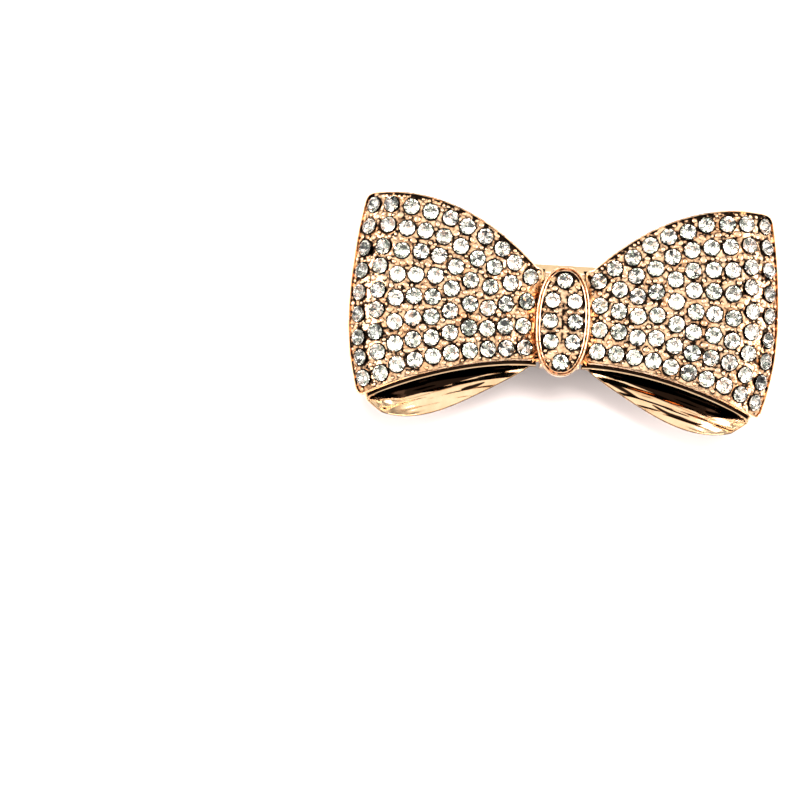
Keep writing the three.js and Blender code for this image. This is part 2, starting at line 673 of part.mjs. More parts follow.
add('clasp_arm', claspArm(), STEEL);
add('hinge_pin', hingePin(), STEEL);
add('base_plate', basePlate(), STEEL);
add('tension_bar', tensionBar(), STEEL);
add('tension_bar_pin', barPin(), STEEL);
add('catch_plate', catchPlate(), STEEL);
add('catch_rivet', rivet(), STEEL);
add('catch_prong_upper', prong(1), STEEL);
add('catch_prong_lower', prong(-1), STEEL);
add('solder_pad_right', solderPad(PAD_X, CLIP_Y, PAD_TOP_Z, PAD_HALF_Y), GOLD);
add('solder_pad_left', solderPad(-PAD_X, CLIP_Y, PAD_TOP_Z, PAD_HALF_Y), GOLD);
add('solder_pad_middle', solderPad(0, MIDDLE_PAD_Y, MIDDLE_PAD_TOP_Z, MIDDLE_PAD_HALF_Y), GOLD);

// The origin is under the middle of the whole clip, on the surface that it lies on.
const middle = new THREE.Box3().setFromObject(clip, true).getCenter(new THREE.Vector3());
clip.position.set(-middle.x, -middle.y, 0);

export default clip;
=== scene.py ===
"""Looks of the rhinestone bow hair clip: plates, shells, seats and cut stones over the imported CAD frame."""
import math
import random

import bmesh
import bpy
from mathutils import Matrix, Vector, noise
from mathutils.geometry import delaunay_2d_cdt
from mathutils.kdtree import KDTree


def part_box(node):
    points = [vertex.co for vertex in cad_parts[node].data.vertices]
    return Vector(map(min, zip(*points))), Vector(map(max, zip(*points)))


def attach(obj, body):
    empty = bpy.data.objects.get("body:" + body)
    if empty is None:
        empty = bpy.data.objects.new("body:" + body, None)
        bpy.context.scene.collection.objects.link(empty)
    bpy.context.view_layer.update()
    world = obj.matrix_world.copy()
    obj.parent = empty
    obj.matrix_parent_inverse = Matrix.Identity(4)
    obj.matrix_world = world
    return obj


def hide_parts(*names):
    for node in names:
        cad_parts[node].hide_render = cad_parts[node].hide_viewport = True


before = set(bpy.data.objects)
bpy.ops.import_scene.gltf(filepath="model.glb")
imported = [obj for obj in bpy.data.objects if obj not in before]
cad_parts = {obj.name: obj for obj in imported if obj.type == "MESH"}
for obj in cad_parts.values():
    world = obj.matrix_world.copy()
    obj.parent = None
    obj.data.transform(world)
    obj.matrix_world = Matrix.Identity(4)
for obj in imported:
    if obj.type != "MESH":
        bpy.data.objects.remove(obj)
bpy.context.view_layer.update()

MM = 0.001

# ---- the bow's surfaces, in millimetres, as the CAD part draws them ----------------------------------
NECK_X = 3.0
EDGE_X = 24.9
CROWN_X = 18.0
CROWN_Z = 14.25
NECK_DROP, NECK_DROP_POWER = 2.4, 1.9
EDGE_DROP, EDGE_DROP_POWER = 2.7, 2.6
WAIST_Y = -0.6
NECK_BEND, EDGE_BEND, BEND_POWER = 0.022, 0.007, 1.5
LOW_NECK_BEND, LOW_EDGE_BEND = 0.011, 0.0155
TOP_NECK_Y, TOP_CORNER_Y, TOP_START_X, TOP_RUN, TOP_POWER = 5.3, 12.9, 3.3, 18.0, 2.25
BOTTOM_NECK_Y, BOTTOM_FALL, BOTTOM_RUN, BOTTOM_POWER = -5.65, 5.4, 20.0, 1.75
FRONT_SAG = 0.3
ROLL_MOST = 1.2  # beyond the plate's edges the front rolls back no further than this many FRONT_SAGs
PLATE_THICK = 1.0

SHELL_THICK = 0.45
SHELL_BACKSET = 1.4
SHELL_LIP = 0.45
SHELL_START_X = 3.05
FOLD_START_X, FOLD_END_X = 23.6, 23.0
FOLD_FRONT_HANDLE, FOLD_BACK_HANDLE = (0.85, -0.6), (0.95, 0.6)
BELLY_X, BELLY_Z, BELLY_RISE_OUT, BELLY_RISE_IN = 13.0, 6.65, 0.0311, 0.022
APRON, APRON_START_X, APRON_RUN, APRON_SKEW = 4.0, 3.8, 20.6, 1.55
BACK_TOP_INSET = 0.65
BACK_CURL = 0.25

COLUMN_STONES = [4, 5, 6, 6, 7, 8, 8, 8, 9, 9]
FIRST_COLUMN_X, COLUMN_PITCH, LAST_COLUMN_X = 4.45, 2.125, 23.75
ROW_DIP, ROW_DIP_FADE = 0.4, 0.5
LOW_MARGIN, LOW_MARGIN_GROWTH = 1.4, 0.45
HIGH_MARGIN, HIGH_MARGIN_GROWTH = 2.0, -0.5

KNOT_Y = -1.08
KNOT_HALF_X, KNOT_HALF_Y, KNOT_ROUND = 3.1, 6.35, 2.3
KNOT_Z, KNOT_FLOOR_Z = 12.4, 13.3
KNOT_ROW_PITCH = 2.37
KNOT_PAIR_X = [1.28, 1.44, 1.26]
BAND_Y = -0.7
CORE_HALF_X, CORE_HALF_Y, CORE_LOW_Z, CORE_HIGH_Z = 3.15, 4.8, 8.25, 11.6
CORE_BOUND_X, CORE_FLARE = 2.2, 0.65
CLIP_Y = 2.0

INVERSE_ROUNDS, CORNER_ROUNDS = 5, 6  # steps towards a place that can only be found by trying
SLOPE_STEP, OUTLINE_STEP = 0.02, 0.05

# ---- looks ------------------------------------------------------------------------------------------
LEFT_SEED, RIGHT_SEED, KNOT_SEED, KNOT_STONE_SEED = 11, 47, 5, 90

STONE_R = 0.91  # of the stone in a seat of radius SEAT_R
STONE_LEAST = 0.985  # share of its full radius that the smallest stone has
STONE_LIFT = 0.16  # how far the middle of a stone is above the plate
STONE_SCATTER, STONE_TILT = 0.07, 2.5  # standard deviations, in millimetres and degrees
# A stone's cut: the radius and height of each ring, and the depth of its point, in stone radii.
TABLE, KITES, GIRDLE = (0.54, 0.36), (0.8, 0.22), (1.0, 0.06)
UNDER, MIDS, POINT_DEPTH = (1.0, -0.03), (0.62, -0.38), 0.82

SEAT_R = 1.055  # outside of the seat round a stone
SEAT_SIDES = 24
KNOT_SEAT_R = 1.0
SEAT_GAP = 0.015  # least distance between two seats
LOOP_RIM_GAP, KNOT_RIM_GAP = 0.02, 0.01  # and from a seat to the rim
SETTLE_ROUNDS = 12
NEIGHBOUR = 3.0  # seats further apart than this along x or y aren't compared
# A seat's section: share of the seat's radius, height above the plate, and painted shade in the gap round the
# stone.
SEAT = [(0.985, 0.02, 1.4), (0.975, -0.05, 3.0), (0.965, -0.2, 4.0), (0.95, -0.6, 4.0)]

BEAD_SIDES = 12
BEAD_LEAST = 0.2  # least radius of a bead
BEAD_RADII = (0.28, 0.5)  # range of the radius that a bead has where there is room
BEAD_SEAT_GAP, BEAD_RIM_GAP, BEAD_GAP = 0.02, 0.05, 0.07  # from a seat, the rim and another bead
# Beads are tried on a grid, in order of the room there, shuffled a little, against the seats nearby.
BEAD_GRID, BEAD_SHUFFLE, BEAD_REACH = 0.14, 0.1, 3.2
BEAD_SQUASH = 0.35  # most that a bead is narrower than long
BEAD_STEEPNESS = (0.4, 0.85)  # range of its height as a share of its radius
BEAD_RINGS = [0.94, 0.74, 0.42]  # shares of its radius
# Painted shade round the foot of each bead.
BEAD_FOOT_SHADE = 1.1

# A rim's section: distance in from the plate's edge, height above the plate, and how dark it is painted, for
# shade at its foot and in its grooves and dark reflections on its side.
PLATE_RIM = [(0.24, 0.0, 1.6), (0.21, 0.1, 1.4), (0.17, 0.25, 0.2), (0.1, 0.31, 0.0), (0.03, 0.26, 0.0),
             (0.0, 0.12, 0.1), (0.0, -0.2, 0.6), (0.07, -0.32, 1.6), (0.07, -0.44, 1.6), (0.02, -0.52, 0.4),
             (0.02, -0.9, 0.6), (0.08, -0.97, 1.0)]
KNOT_RIM = [(0.56, 0.0, 2.0), (0.54, 0.12, 1.2), (0.49, 0.26, 0.1), (0.42, 0.3, 0.0), (0.37, 0.24, 0.3),
            (0.33, 0.14, 1.3), (0.29, 0.14, 1.3), (0.25, 0.28, 0.3), (0.18, 0.4, 0.0), (0.1, 0.44, 0.0),
            (0.03, 0.38, 0.0), (0.0, 0.24, 0.1), (0.0, -0.72, 0.4), (0.08, -0.84, 1.0)]
RIM_START, RIM_RUN = 0.1, 0.8  # where a plate's rim starts to rise, from the neck, and over what length
RIM_SHADE, RIM_SHADE_RUN = 1.4, 0.45  # how the painted shade at the rim's foot fades out over the floor
RIM_SIDE_SHADE_RUN, RIM_SIDE_SHADE_LEAST = 0.8, 0.15  # the painted dark on the rim's side is lighter where it turns out at the loop's end
# Painted shade at a rim's foot: near the loops' top edge, elsewhere on the loops, and round the knot.
TOP_RIM_SHADE, TOP_RIM_REACH, LOW_RIM_SHADE, KNOT_RIM_SHADE = 2.2, 1, 0.6, 1.8
# Painted shade: over the floor between stones on the loops and on the knot, round seats, beads and slots,
# down in the slots, and under the plate.
PLATE_FLOOR_SHADE, KNOT_FLOOR_SHADE, RING_SHADE, SLOT_SHADE, UNDER_SHADE = 0.45, 0.5, 1.15, 2.0, 0.3
PLATE_STATIONS, NECK_STATIONS = 60, 30
PLATE_CORNERS = [0.85, 0.85, 0.8, 0.8]  # lower outer, upper outer, upper neck, lower neck
# The floor's vertices are this far apart, and this far from seats and beads, from slots and from the rim.
FLOOR_STEP, FLOOR_CLEAR, SLOT_CLEAR, RIM_CLEAR = 0.28, 0.08, 0.2, 0.1
UNDER_STEP, UNDER_CLEAR = 1.1, 0.5
SAME_PLACE = 1e-5
RELIEF_SIZE, RELIEF_DEPTH = 0.45, 0.11
SLOT_DEPTH = 0.2

# The painted shade of the dark wedge inside a loop: its depth, its shape from neck to edge, and where it
# tapers off.
WEDGE, WEDGE_NECK, WEDGE_EDGE, WEDGE_END, WEDGE_TAPER = 1.35, 0.55, 1.15, 0.98, 0.2
# How dark the wedge's painted shade is, and how soft its edge.
WEDGE_SHADE, WEDGE_BLUR = 2.2, 0.1
DEEP_START, DEEP_RUN, DEEP_POWER, DEEP_LEAST = 1.8, 5, 0.7, 0.12  # further in, the painted shade fades and the gold shows again
LINE_DARKNESS, LINE_BELOW, LINE_WIDTH = 1.1, 0.34, 0.09  # a fine painted dark line, a painted reflection, that follows the wedge
# Painted shade on the lowest row of the ribbon's inner face, and in the step under the plate, which fades
# where the ribbon turns.
LIP_SHADE, STEP_SHADE, STEP_FADE = 1.2, 2.0, 8
# Painted dark streaks, painted reflections, across each ribbon's inner face: how far down its face, half
# their width there, and the shares of the loop's length between which they run.
DARK_STREAKS = {"left": [(0.6, 0.08, 0.28, 0.42)], "right": [(0.68, 0.09, 0.1, 0.36), (0.7, 0.055, 0.43, 0.75)]}
# How dark the painted streaks are, how sharp their edges, how they and the brown band sway, how the streaks
# swell, and the least apron they are measured against.
STREAK_DARKNESS, STREAK_EDGE, STREAK_SWAY, STREAK_SWELL, APRON_LEAST = 2.2, 1.4, 0.05, 6, 0.5
# A painted brown band, a painted reflection, along the middle of the face: how brown it is, and half its
# width.
BROWN_BAND, BROWN_BAND_WIDTH = {"left": 0.0, "right": 0.55}, 0.05
RIPPLE_DEPTH = {"left": 0.05, "right": 0.1}
# Painted dark reflections along the ripples, where they are highest.
RIPPLE_DARKNESS, RIPPLE_START, RIPPLE_MOST = 1.6, 0.35, 0.6
SHELL_FRONT_STATIONS, FOLD_STEPS, SHELL_BACK_STATIONS = 30, 12, 60
SHELL_FINE_RUN, SHELL_FINE_ROWS, SHELL_ROWS = 0.3, 80, 16  # the rows are closer near the lower edge
SHELL_ROUND, SHELL_EDGE = 0.72, 0.09  # the strip's rounded edges: half their flat's height, and their run

low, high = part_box("base_plate")
SHIFT_Y = (low.y + high.y) / 2 / MM - CLIP_Y


def mix(a, b, t):
    return a + (b - a) * t


def clamp(value, least, most):
    return min(max(value, least), most)


def spaced(first, last, steps):
    return [mix(first, last, k / steps) for k in range(steps + 1)]


def share(flat):
    return (flat - NECK_X) / (EDGE_X - NECK_X)


def front_z(flat):
    if flat < CROWN_X:
        return CROWN_Z - NECK_DROP * ((CROWN_X - flat) / (CROWN_X - NECK_X)) ** NECK_DROP_POWER
    return CROWN_Z - EDGE_DROP * ((flat - CROWN_X) / (EDGE_X - CROWN_X)) ** EDGE_DROP_POWER


def top_y(x):
    run = clamp((x - TOP_START_X) / TOP_RUN, 0, 1)
    return TOP_CORNER_Y - (TOP_CORNER_Y - TOP_NECK_Y) * (1 - run) ** TOP_POWER


def bottom_y(x):
    return BOTTOM_NECK_Y - BOTTOM_FALL * max((x - NECK_X) / BOTTOM_RUN, 0) ** BOTTOM_POWER


def bend(flat, y):
    inward = clamp(1 - share(flat), 0, 1)
    if y > WAIST_Y:
        return mix(EDGE_BEND, NECK_BEND, inward ** BEND_POWER)
    return mix(LOW_EDGE_BEND, LOW_NECK_BEND, inward)


def bowed(flat, y):
    return flat - bend(flat, y) * (y - WAIST_Y) ** 2


def flat_of(x, y):
    """The inverse of bowed: where on the flat ribbon a point of the bow lies."""
    flat = x
    for _ in range(INVERSE_ROUNDS):
        flat = x + bend(flat, y) * (y - WAIST_Y) ** 2
    return flat


def front_height(x, y):
    roll = (2 * y - top_y(x) - bottom_y(x)) / (top_y(x) - bottom_y(x))
    return front_z(flat_of(x, y)) - FRONT_SAG * min(roll ** 2, ROLL_MOST)


def front_point(flat, run, low_inset, high_inset):
    guess = mix(bottom_y(flat) + low_inset, top_y(flat) - high_inset, run)
    x = bowed(flat, guess)
    y = mix(bottom_y(x) + low_inset, top_y(x) - high_inset, run)
    return x, y


# ---- meshes -----------------------------------------------------------------------------------------
class Mesh:
    """Vertices and faces of one piece, in millimetres.

    Each vertex carries how dark it is painted: painted shade in hollows, gaps and under things, and painted
    dark reflections inside the loops. finish is each face's material and tone its place in that one's
    colours."""

    def __init__(self):
        self.points = []
        self.painted_dark = []
        self.faces = []
        self.finish = []
        self.tone = []

    def point(self, x, y, z, painted_dark=0.0):
        self.points.append((x, y, z))
        self.painted_dark.append(painted_dark)
        return len(self.points) - 1

    def face(self, *corners, finish=0, tone=0.5):
        self.faces.append(corners)
        self.finish.append(finish)
        self.tone.append(tone)

    def strip(self, before, after, finish=0):
        """Quads between two closed rings of as many vertices."""
        count = len(before)
        for i in range(count):
            j = (i + 1) % count
            self.face(before[i], before[j], after[j], after[i], finish=finish)

    def build(self, name, body, materials, mirror=False, smooth=35):
        """Makes the object, on its body. Edges under smooth degrees are shaded smooth."""
        sign = -1 if mirror else 1
        data = bpy.data.meshes.new(name)
        places = [(sign * x * MM, (y + SHIFT_Y) * MM, z * MM) for x, y, z in self.points]
        data.from_pydata(places, [], self.faces)
        data.attributes.new("painted_dark", "FLOAT", "POINT").data.foreach_set("value", self.painted_dark)
        data.attributes.new("tone", "FLOAT", "FACE").data.foreach_set("value", self.tone)
        for material in materials:
            data.materials.append(material)
        data.polygons.foreach_set("material_index", self.finish)
        work = bmesh.new()
        work.from_mesh(data)
        bmesh.ops.recalc_face_normals(work, faces=work.faces)
        work.to_mesh(data)
        work.free()
        if smooth:
            data.shade_smooth()
            data.set_sharp_from_angle(angle=math.radians(smooth))
        made = bpy.data.objects.new(name, data)
        bpy.context.scene.collection.objects.link(made)
        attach(made, body)
        return made


def offset(outline, inset):
    """The outline, drawn anticlockwise, moved in by inset."""
    count = len(outline)
    moved = []
    for i, (x, y) in enumerate(outline):
        ax, ay = outline[i - 1]
        bx, by = outline[(i + 1) % count]
        length = math.hypot(bx - ax, by - ay)
        moved.append((x - inset * (by - ay) / length, y + inset * (bx - ax) / length))
    return moved


def rounded(legs, radii, step=0.35):
    """A closed outline from legs that meet at corners, with each leg's last corner rounded off."""
    outline = []
    for i, leg in enumerate(legs):
        before, after = radii[i - 1], radii[i]
        head = [p for p in leg if math.dist(p, leg[0]) > before and math.dist(p, leg[-1]) > after]
        outline += head
        following = legs[(i + 1) % len(legs)]
        corner = leg[-1]
        start = head[-1]
        end = next(p for p in following if math.dist(p, corner) > after)
        turns = max(3, int(2 * after / step) + 2)
        for k in range(1, turns):
            t = k / turns
            curve = [mix(mix(start[d], corner[d], t), mix(corner[d], end[d], t), t) for d in (0, 1)]
            outline.append(tuple(curve))
    return outline


def seat_normal(height, x, y):
    step = SLOPE_STEP
    across = (height(x + step, y) - height(x - step, y)) / (2 * step)
    along = (height(x, y + step) - height(x, y - step)) / (2 * step)
    return Vector((-across, -along, 1)).normalized()


def frame_at(height, x, y):
    """The place and turn of something that stands on the surface."""
    normal = seat_normal(height, x, y)
    turn = Vector((0, 0, 1)).rotation_difference(normal).to_matrix().to_4x4()
    return Matrix.Translation((x, y, height(x, y))) @ turn


def nearest_on(outline):
    """A finder that gives the outline's nearest place to a point, and how far that is."""
    places = []
    for i, b in enumerate(outline):
        a = outline[i - 1]
        steps = max(1, int(math.dist(a, b) / OUTLINE_STEP))
        places += [(mix(a[0], b[0], k / steps), mix(a[1], b[1], k / steps)) for k in range(steps)]
    tree = KDTree(len(places))
    for i, (x, y) in enumerate(places):
        tree.insert((x, y, 0), i)
    tree.balance()

    def find(x, y):
        place, _, gap = tree.find((x, y, 0))
        return place, gap
    return find


def settle(seats, fence, height, reach):
    """Moves stones apart, and off the rim, until their lips are clear of each other."""
    find = nearest_on(fence)
    for _ in range(SETTLE_ROUNDS):
        for i, (x, y, r) in enumerate(seats):
            for j in range(i):
                ox, oy, other = seats[j]
                dx, dy = x - ox, y - oy
                if abs(dx) > NEIGHBOUR or abs(dy) > NEIGHBOUR:
                    continue
                gap = math.sqrt(dx * dx + dy * dy + (height(x, y) - height(ox, oy)) ** 2)
                short = r + other + SEAT_GAP - gap
                if short > 0:
                    x, y = x + dx / gap * short / 2, y + dy / gap * short / 2
                    seats[j] = (ox - dx / gap * short / 2, oy - dy / gap * short / 2, other)
            near, gap = find(x, y)
            if gap < r + reach:
                push = (r + reach - gap) / gap
                x, y = x + (x - near.x) * push, y + (y - near.y) * push
            seats[i] = (x, y, r)
    return seats


def spots_for_beads(seats, fence, dice):
    """Middles and radii of the small beads of metal that fill the gaps between the stones."""
    find = nearest_on(fence)
    found = []
    for x, y in grid(fence, BEAD_GRID):
        room = min(math.dist((x, y), (sx, sy)) - sr for sx, sy, sr in seats if abs(sx - x) < BEAD_REACH)
        if room > BEAD_LEAST:
            found.append((room + dice.uniform(-BEAD_SHUFFLE, BEAD_SHUFFLE), room, x, y))
    found.sort(reverse=True)
    beads = []
    for _, room, x, y in found:
        edge = find(x, y)[1]
        apart = min((math.dist((x, y), (bx, by)) - br for bx, by, br in beads), default=math.inf)
        r = min(room - BEAD_SEAT_GAP, edge - BEAD_RIM_GAP, apart - BEAD_GAP, dice.uniform(*BEAD_RADII))
        if r > BEAD_LEAST:
            beads.append((x, y, r))
    return beads


def grid(outline, step, stagger=0.0):
    """Places inside an outline, in rows that are step apart."""
    xs = [p[0] for p in outline]
    ys = [p[1] for p in outline]
    places = []
    for row in range(int((max(ys) - min(ys)) / step) + 1):
        y = min(ys) + (row + 0.5) * step
        for column in range(int((max(xs) - min(xs)) / step) + 1):
            x = min(xs) + (column + 0.25 + stagger * (row % 2)) * step
            if inside(outline, x, y):
                places.append((x, y))
    return places


def inside(outline, x, y):
    crossings = 0
    for i, (ax, ay) in enumerate(outline):
        bx, by = outline[i - 1]
        if (ay > y) != (by > y) and x < ax + (y - ay) * (bx - ax) / (by - ay):
            crossings += 1
    return crossings % 2 == 1


def circle(matrix, radii, lift=0.0):
    """Places round the middle of a seat or bead, one for each radius."""
    turns = [math.tau * k / len(radii) for k in range(len(radii))]
    return [matrix @ Vector((r * math.cos(a), r * math.sin(a), lift)) for r, a in zip(radii, turns)]


class Plate(Mesh):
    """A plate with a rolled rim, a sunk seat for each stone, beads between them and slots in its floor.

    After thick come the painted shade over the floor between the stones, rim_share(x), which says how much of
    the rim's height there is, and a function of (x, y) that gives how dark the painted shade on the floor is
    at the rim's foot."""

    def __init__(self, outline, rim, height, thick, floor_shade, rim_share, rim_foot_shade):
        super().__init__()
        self.outline = outline
        self.rim = rim
        self.height = height
        self.thick = thick
        self.floor_shade = floor_shade
        self.rim_share = rim_share
        self.rim_foot_shade = rim_foot_shade
        self.fence = offset(outline, rim[0][0])
        self.flat = list(self.fence)
        self.rings = [list(range(len(self.fence)))]
        self.blocks = []

    def ring(self, places):
        """Keeps a ring of places that the floor is cut along."""
        made = list(range(len(self.flat), len(self.flat) + len(places)))
        self.flat += [(p[0], p[1]) for p in places]
        self.rings.append(made)
        return made

    def lay(self, seats, beads, slots, dice):
        """Makes the whole plate."""
        seats = [(frame_at(self.height, x, y), x, y, r) for x, y, r in seats]
        beads = [(frame_at(self.height, x, y), x, y, lump(r, dice)) for x, y, r in beads]
        seat_rings = [self.ring(circle(m, [r] * SEAT_SIDES)) for m, _, _, r in seats]
        bead_rings = [self.ring(circle(m, radii)) for m, _, _, radii in beads]
        slot_rings = [self.ring(slot) for slot in slots]
        self.blocks = [(x, y, r + FLOOR_CLEAR) for _, x, y, r in seats]
        self.blocks += [(x, y, max(radii) + FLOOR_CLEAR) for _, x, y, radii in beads]
        self.blocks += [(x, y, SLOT_CLEAR) for slot in slots for x, y in slot]
        self.lay_floor()
        for (matrix, _, _, r), ring in zip(seats, seat_rings):
            self.sink_seat(matrix, r, ring)
        for (matrix, _, _, radii), ring in zip(beads, bead_rings):
            self.raise_bead(matrix, radii, ring, dice.uniform(*BEAD_STEEPNESS))
        for ring in slot_rings:
            self.sink_slot(ring)
        self.lay_under(self.roll_rim())

    def free(self, x, y):
        return all(abs(bx - x) > r or math.dist((bx, by), (x, y)) > r for bx, by, r in self.blocks)

    def lay_floor(self):
        find = nearest_on(self.fence)
        spots = grid(self.fence, FLOOR_STEP, 0.5)
        self.flat += [p for p in spots if self.free(*p) and find(*p)[1] > RIM_CLEAR]
        edges = [(ring[i - 1], ring[i]) for ring in self.rings for i in range(len(ring))]
        places = [Vector(p) for p in self.flat]
        points, _, triangles, _, _, _ = delaunay_2d_cdt(places, edges, [self.rings[0]], 1, SAME_PLACE)
        assert len(points) == len(self.flat), "two rings cross"
        owner = {v: number for number, ring in enumerate(self.rings) if number for v in ring}
        for number, (x, y) in enumerate(points):
            relief = RELIEF_DEPTH * noise.noise(Vector((x / RELIEF_SIZE, y / RELIEF_SIZE, 0.7)))
            near_rim = clamp(RIM_SHADE - find(x, y)[1] / RIM_SHADE_RUN, 0, 1)
            # Painted shade: rings round seats, beads and slots are darker, and the painted shade at the rim's
            # foot spreads over the floor near it.
            shade = RING_SHADE if number in owner else self.floor_shade
            shade = max(shade, self.rim_foot_shade(x, y) * near_rim)
            self.point(x, y, self.height(x, y) + relief * (1 - near_rim), shade)
        for triangle in triangles:
            if len({owner.get(v, -v - 1) for v in triangle}) > 1:
                self.face(*triangle)

    def sink_seat(self, matrix, radius, ring):
        for part, lift, shade in SEAT:
            made = [self.point(*p, shade) for p in circle(matrix, [radius * part] * SEAT_SIDES, lift)]
            self.strip(ring, made)
            ring = made
        self.face(*ring)

    def raise_bead(self, matrix, radii, ring, steep):
        for part in BEAD_RINGS:
            lift = steep * min(radii) * math.sqrt(1 - part * part)
            shade = BEAD_FOOT_SHADE if part == BEAD_RINGS[0] else 0.0
            made = [self.point(*p, shade) for p in circle(matrix, [r * part for r in radii], lift)]
            self.strip(ring, made)
            ring = made
        self.face(*ring)

    def sink_slot(self, ring):
        places = [self.points[v] for v in ring]
        sunk = [self.point(x, y, z - SLOT_DEPTH, SLOT_SHADE) for x, y, z in places]
        self.strip(ring, sunk)
        self.face(*sunk)

    def roll_rim(self):
        last = self.rings[0]
        for inset, lift, shade in self.rim[1:]:
            made = []
            for x, y in offset(self.outline, inset):
                rise = lift * self.rim_share(x) if lift > 0 else lift
                from_end = (EDGE_X - flat_of(x, y)) / RIM_SIDE_SHADE_RUN
                shaded = clamp(from_end, RIM_SIDE_SHADE_LEAST, 1) if lift < 0 else 1
                made.append(self.point(x, y, self.height(x, y) + rise, shade * shaded))
            self.strip(last, made)
            last = made
        return last

    def lay_under(self, edge):
        outline = [self.points[v][:2] for v in edge]
        find = nearest_on(outline)
        middle = [p for p in grid(outline, UNDER_STEP) if find(*p)[1] > UNDER_CLEAR]
        places = [Vector(p) for p in outline + middle]
        triangles = delaunay_2d_cdt(places, [], [list(range(len(outline)))], 1, SAME_PLACE)[2]
        index = list(edge)
        index += [self.point(x, y, self.height(x, y) - self.thick, UNDER_SHADE) for x, y in middle]
        for triangle in triangles:
            self.face(*(index[v] for v in triangle))


def lump(radius, dice):
    """Radii of a bead that is a little longer one way than the other."""
    squash = dice.uniform(0.0, BEAD_SQUASH)
    turn = dice.uniform(0, math.pi)
    angles = [math.tau * k / BEAD_SIDES - turn for k in range(BEAD_SIDES)]
    return [radius * (1 - squash * math.sin(angle) ** 2) for angle in angles]


# ---- the pave plates --------------------------------------------------------------------------------
def plate_outline():
    corner_y = bottom_y(EDGE_X)
    for _ in range(CORNER_ROUNDS):
        corner_y = bottom_y(bowed(EDGE_X, corner_y))
    outer = [(bowed(EDGE_X, y), y) for y in spaced(corner_y, TOP_CORNER_Y, PLATE_STATIONS)]
    neck = [(bowed(NECK_X, y), y) for y in spaced(TOP_NECK_Y, BOTTOM_NECK_Y, NECK_STATIONS)]
    lower = [(x, bottom_y(x)) for x in spaced(neck[-1][0], outer[0][0], PLATE_STATIONS)]
    upper = [(x, top_y(x)) for x in spaced(outer[-1][0], neck[0][0], PLATE_STATIONS)]
    return rounded([lower, outer, upper, neck], PLATE_CORNERS)


def plate_seats(seed):
    dice = random.Random(seed)
    seats = []
    for column, count in enumerate(COLUMN_STONES):
        last = column == len(COLUMN_STONES) - 1
        flat = LAST_COLUMN_X if last else FIRST_COLUMN_X + column * COLUMN_PITCH
        for k in range(count):
            run = k / (count - 1)
            low_margin = LOW_MARGIN + LOW_MARGIN_GROWTH * share(flat)
            high_margin = HIGH_MARGIN + HIGH_MARGIN_GROWTH * share(flat)
            x, y = front_point(flat, run, low_margin, high_margin)
            y -= 4 * run * (1 - run) * (ROW_DIP - ROW_DIP_FADE * share(flat))
            seats.append((x + dice.gauss(0, STONE_SCATTER), y + dice.gauss(0, STONE_SCATTER), SEAT_R))
    return seats


# ---- stones -----------------------------------------------------------------------------------------
def cut_stone(mesh, matrix, radius, dice):
    """A round brilliant: table, stars, kites and halves over a girdle, and a foiled pavilion."""
    spin = dice.uniform(0, math.tau / 8)
    lean, tip = (Matrix.Rotation(math.radians(dice.gauss(0, STONE_TILT)), 4, axis) for axis in "XY")
    place = matrix @ Matrix.Translation((0, 0, STONE_LIFT)) @ (lean @ tip) @ Matrix.Rotation(spin, 4, "Z")

    def ring(part, count, half=0.0):
        r, z = part
        angles = [math.tau * (k + half) / count for k in range(count)]
        spots = [(radius * r * math.cos(a), radius * r * math.sin(a), radius * z) for a in angles]
        return [mesh.point(*(place @ Vector(spot))) for spot in spots]

    table = ring(TABLE, 8)
    kites = ring(KITES, 8, 0.5)
    girdle = ring(GIRDLE, 16)
    under = ring(UNDER, 16)
    mids = ring(MIDS, 8, 0.5)
    culet = mesh.point(*(place @ Vector((0, 0, -POINT_DEPTH * radius))))
    mesh.face(*table)
    for k in range(8):
        nxt = (k + 1) % 8
        mesh.face(table[k], table[nxt], kites[k])
        mesh.face(table[k], kites[k - 1], girdle[2 * k], kites[k])
        mesh.face(kites[k], girdle[2 * k], girdle[2 * k + 1])
        mesh.face(kites[k], girdle[2 * k + 1], girdle[(2 * k + 2) % 16])
    mesh.strip(girdle, under, finish=1)
    for k in range(8):
        nxt = (k + 1) % 8
        mesh.face(under[2 * k], mids[k - 1], culet, mids[k], finish=1, tone=dice.random())
        mesh.face(under[2 * k], mids[k], under[2 * k + 1], finish=1, tone=dice.random())
        mesh.face(under[2 * k + 1], mids[k], under[2 * nxt], finish=1, tone=dice.random())


# ---- materials --------------------------------------------------------------------------------------
# Noise scales, per metre.
BLOTCHES, SHADE_PATCHES, WEAR, GRAIN = 420, 1500, 800, 3500
SHADE_PATCH_SPREAD, SHADE_PATCH_RANGE = 1.35, (0.36, 0.64)
GLASS_SMEARS, GLASS_WAVES, FOIL_TONES, FOIL_WEAR, FOIL_WAVES = 900, 1400, 1500, 2500, 3000
FACET_WAVE = 0.000004  # metres
STONE_IOR = 1.56
GLASS_ROUGHNESS, FOIL_ROUGHNESS = (0.01, 0.07), (0.03, 0.16)
# Colours of metal by how dark it is painted for shade and reflections, and of the foil by each facet's tone,
# which paints facets from near black to white as reflections.
SHADE_COLOURS = [(0.2, (0.74, 0.39, 0.17)), (0.6, (0.3, 0.12, 0.045)), (0.95, (0.014, 0.007, 0.004))]
FOIL_PAINTED_FACETS = [(0.0, (0.02, 0.02, 0.02)), (0.14, (0.2, 0.22, 0.19)), (0.28, (0.66, 0.7, 0.62)),
        (0.42, (1.0, 0.98, 0.93)), (0.82, (1.0, 0.94, 0.87)), (1.0, (0.7, 0.54, 0.45))]


def node(tree, kind, **settings):
    made = tree.nodes.new(kind)
    for key, value in settings.items():
        setattr(made, key, value)
    return made


